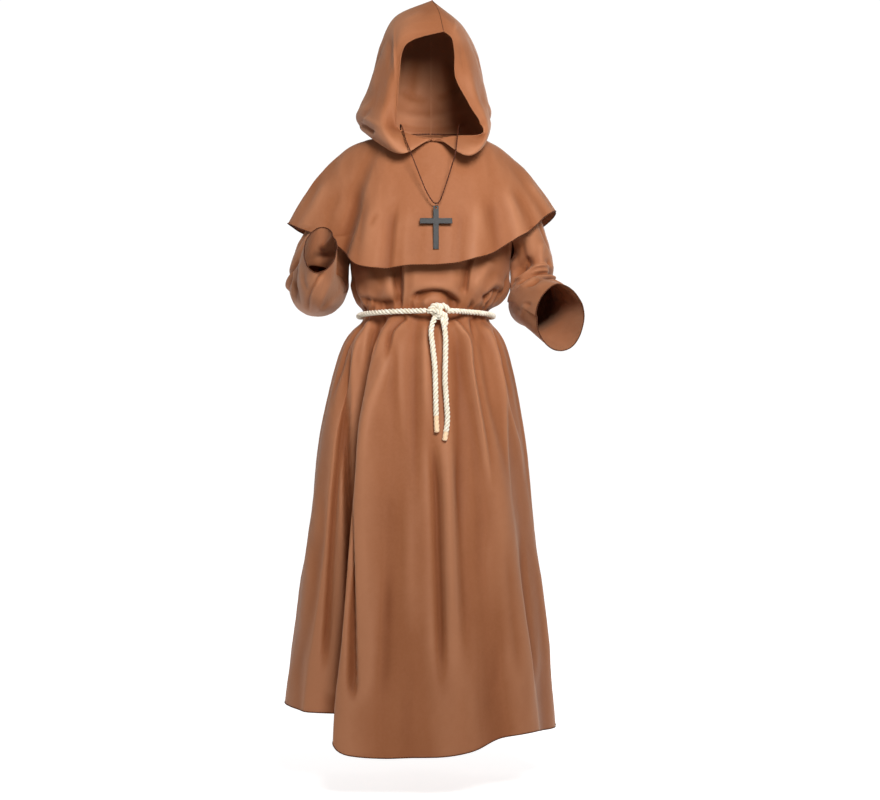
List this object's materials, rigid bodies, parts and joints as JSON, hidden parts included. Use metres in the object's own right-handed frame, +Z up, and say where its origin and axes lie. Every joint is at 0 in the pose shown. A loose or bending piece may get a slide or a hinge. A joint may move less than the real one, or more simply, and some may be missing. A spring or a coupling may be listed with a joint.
{
  "type": "monk costume",
  "caption": "Long hooded robe costume with capelet, wide sleeves, rope belt and a plain cross on a cord, in its worn, hollow form.",
  "frame": {"origin": "base of the neck, in the middle between the shoulders, where the wearer's shoulders carry the cloth", "axes": "+Z up, the front faces -Y, +X is the wearer's left"},
  "size_m": [0.6619, 0.5286, 1.6682],
  "materials": {
    "cloth": "smooth light polyester weave with a soft satin sheen",
    "rope": "three-strand twisted cotton rope, ivory",
    "cord": "thin round waxed cord, dark brown",
    "metal": "small darkened wire ring",
    "cross": "worn dark grey, rubbed at the edges"
  },
  "bodies": {
    "costume": {"robe_front": "cloth", "robe_back": "cloth", "sleeve_right": "cloth", "sleeve_left": "cloth", "cape_front": "cloth", "cape_back": "cloth", "hood_right": "cloth", "hood_left": "cloth", "belt_loop": "rope", "belt_knot": "rope", "belt_end_right": "rope", "belt_end_left": "rope", "necklace_cord": "cord"},
    "cross": {"cross": "cross", "jump_ring": "metal"}
  },
  "joints": [
    {"name": "cross_swing", "type": "hinge", "parent": "costume", "child": "cross", "pos_m": [0.014, -0.1632, -0.149], "axis": [-1, 0, 0], "range_deg": [0, 120]}
  ]
}
